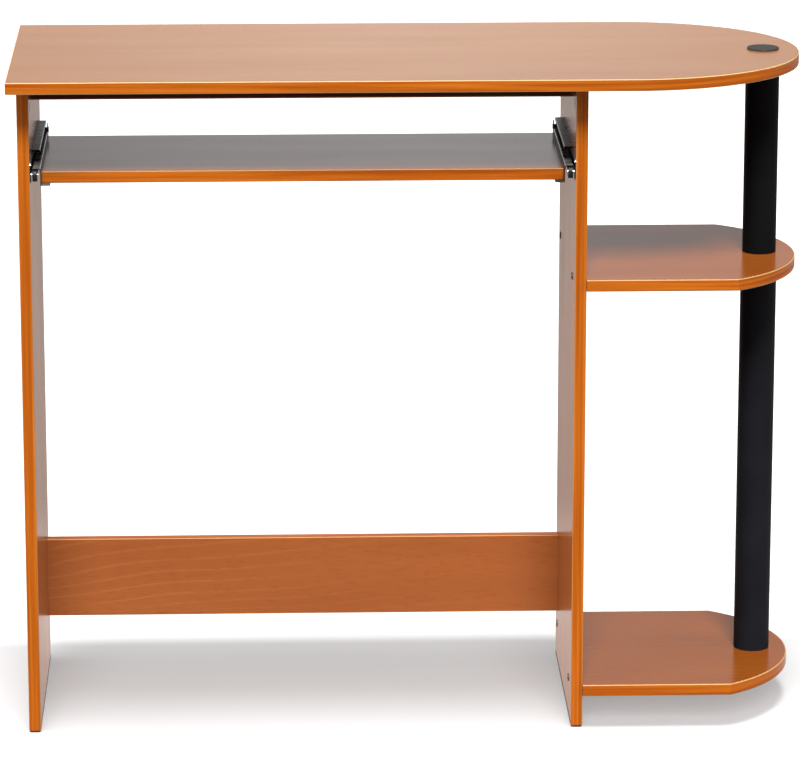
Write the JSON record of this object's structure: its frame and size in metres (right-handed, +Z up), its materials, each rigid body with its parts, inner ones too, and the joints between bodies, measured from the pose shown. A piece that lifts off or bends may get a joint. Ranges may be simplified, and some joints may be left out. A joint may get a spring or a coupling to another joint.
{
  "type": "computer desk with keyboard tray",
  "caption": "Laminated computer desk with a half-round end, open end shelves joined by a black tube, and a keyboard tray on roller slides.",
  "frame": {"origin": "on the floor under the middle of the desktop's bounding box", "axes": "+X to the user's right, towards the round end and the end shelves; +Y away from the user, who sits on the -Y side; +Z up"},
  "size_m": [0.995, 0.395, 0.8552],
  "materials": {
    "cherry_laminate": "semi-gloss cherry grain foil on board",
    "cherry_edge": "semi-gloss cherry edge band",
    "black_tube": "satin black",
    "black_fitting": "moulded black",
    "black_cap": "satin black",
    "slide_steel": "black epoxy coat",
    "roller_nylon": "smooth black nylon",
    "zinc_steel": "bright zinc plate",
    "cam_zinc": "dull die-cast zinc",
    "dowel_wood": "bare beech",
    "cover_plastic": "satin brown",
    "glide_plastic": "satin black"
  },
  "bodies": {
    "frame": {"desktop": "cherry_laminate", "desktop_edge": "cherry_edge", "left_panel": "cherry_laminate", "left_panel_edges": "cherry_edge", "right_panel": "cherry_laminate", "right_panel_edges": "cherry_edge", "top_rail": "cherry_laminate", "top_rail_edge": "cherry_edge", "rear_stretcher": "cherry_laminate", "rear_stretcher_edges": "cherry_edge", "middle_shelf": "cherry_laminate", "middle_shelf_edge": "cherry_edge", "bottom_shelf": "cherry_laminate", "bottom_shelf_edge": "cherry_edge", "upper_tube": "black_tube", "lower_tube": "black_tube", "upper_tube_plugs": "black_fitting", "lower_tube_plugs": "black_fitting", "shelf_stud": "black_fitting", "desktop_cap": "black_cap", "bottom_cap": "black_cap", "left_cabinet_rail": "slide_steel", "right_cabinet_rail": "slide_steel", "front_roller_rivets": "zinc_steel", "cabinet_rail_screws": "zinc_steel", "cam_locks": "cam_zinc", "cam_bolts": "zinc_steel", "top_dowels": "dowel_wood", "rail_dowels": "dowel_wood", "top_rail_screws": "zinc_steel", "stretcher_screws": "zinc_steel", "shelf_screws": "zinc_steel", "screw_covers": "cover_plastic", "panel_glides": "glide_plastic"},
    "tray": {"keyboard_tray": "cherry_laminate", "keyboard_tray_edges": "cherry_edge", "left_tray_rail": "slide_steel", "right_tray_rail": "slide_steel", "rear_roller_rivets": "zinc_steel", "tray_rail_screws": "zinc_steel"},
    "left_front_roller": {"left_front_roller": "roller_nylon"},
    "left_rear_roller": {"left_rear_roller": "roller_nylon"},
    "right_front_roller": {"right_front_roller": "roller_nylon"},
    "right_rear_roller": {"right_rear_roller": "roller_nylon"}
  },
  "joints": [
    {"name": "tray_slide", "type": "slide", "parent": "frame", "child": "tray", "axis": [0, -1, 0], "range_m": [0, 0.165]},
    {"name": "left_front_roller_spin", "type": "hinge", "parent": "frame", "child": "left_front_roller", "pos_m": [-0.4656, -0.1375, 0.7249], "axis": [1, 0, 0], "range_deg": [0, 1182]},
    {"name": "left_rear_roller_spin", "type": "hinge", "parent": "tray", "child": "left_rear_roller", "pos_m": [-0.4656, 0.0935, 0.7353], "axis": [1, 0, 0], "range_deg": [0, 1182]},
    {"name": "right_front_roller_spin", "type": "hinge", "parent": "frame", "child": "right_front_roller", "pos_m": [0.2001, -0.1375, 0.7249], "axis": [1, 0, 0], "range_deg": [0, 1182]},
    {"name": "right_rear_roller_spin", "type": "hinge", "parent": "tray", "child": "right_rear_roller", "pos_m": [0.2001, 0.0935, 0.7353], "axis": [1, 0, 0], "range_deg": [0, 1182]}
  ],
  "couplings": [
    {"joint": "left_front_roller_spin", "follows": "tray_slide", "rad_per_m": 125},
    {"joint": "left_rear_roller_spin", "follows": "tray_slide", "rad_per_m": 125},
    {"joint": "right_front_roller_spin", "follows": "tray_slide", "rad_per_m": 125},
    {"joint": "right_rear_roller_spin", "follows": "tray_slide", "rad_per_m": 125}
  ]
}
